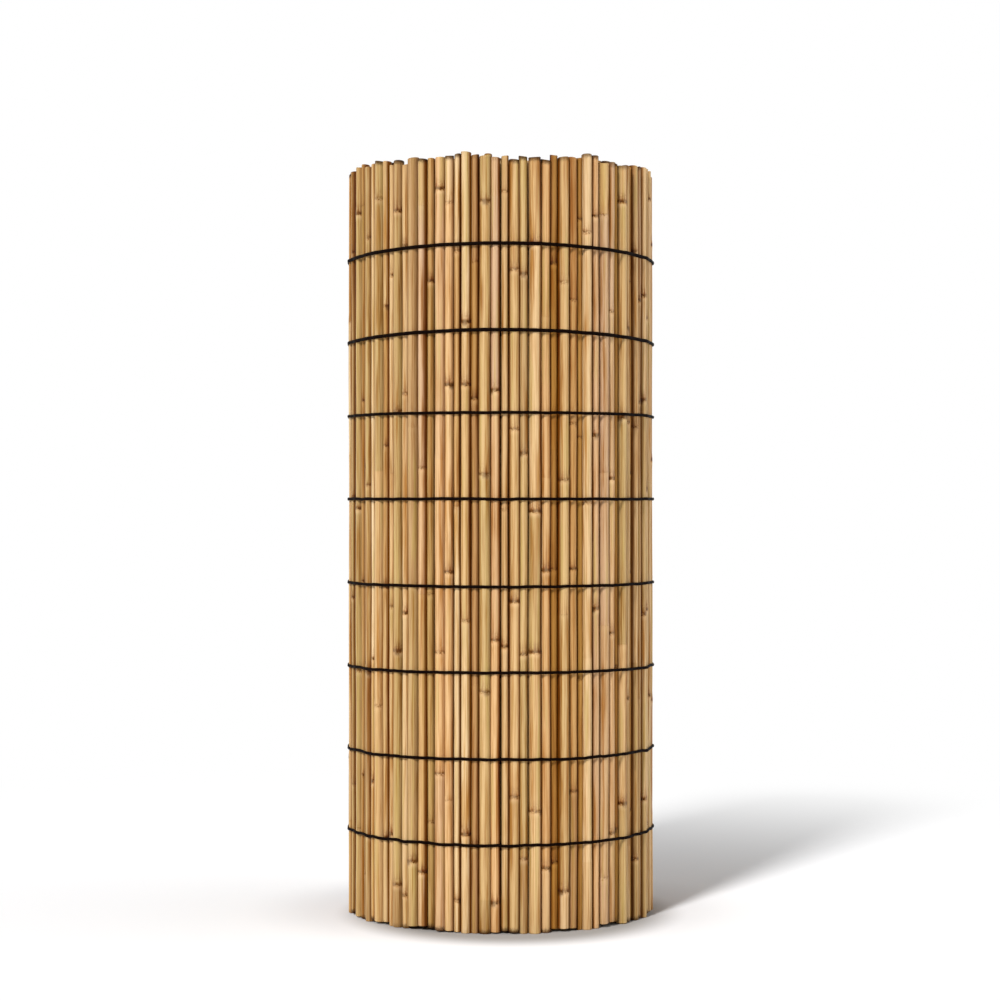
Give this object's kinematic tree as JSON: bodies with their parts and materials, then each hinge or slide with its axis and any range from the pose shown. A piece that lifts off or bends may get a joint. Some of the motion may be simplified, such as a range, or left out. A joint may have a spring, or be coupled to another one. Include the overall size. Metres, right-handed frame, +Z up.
{
  "type": "bamboo screening mat",
  "caption": "Bamboo cane screening mat, rolled up and standing on end, its whole canes held side by side by dark tie wires, for fences and privacy screens.",
  "frame": {"origin": "on the floor, under the middle of the roll", "axes": "+Z up along the canes, +Y towards the free edge of the mat at the back, +X to the right seen from the front"},
  "size_m": [0.4176, 0.4256, 1],
  "materials": {
    "bamboo": "satin",
    "tie": "matte"
  },
  "bodies": {
    "root": {"cane_mat": "bamboo", "tie_wire_1": "tie", "tie_wire_2": "tie", "tie_wire_3": "tie", "tie_wire_4": "tie", "tie_wire_5": "tie", "tie_wire_6": "tie", "tie_wire_7": "tie", "tie_wire_8": "tie"}
  },
  "joints": []
}
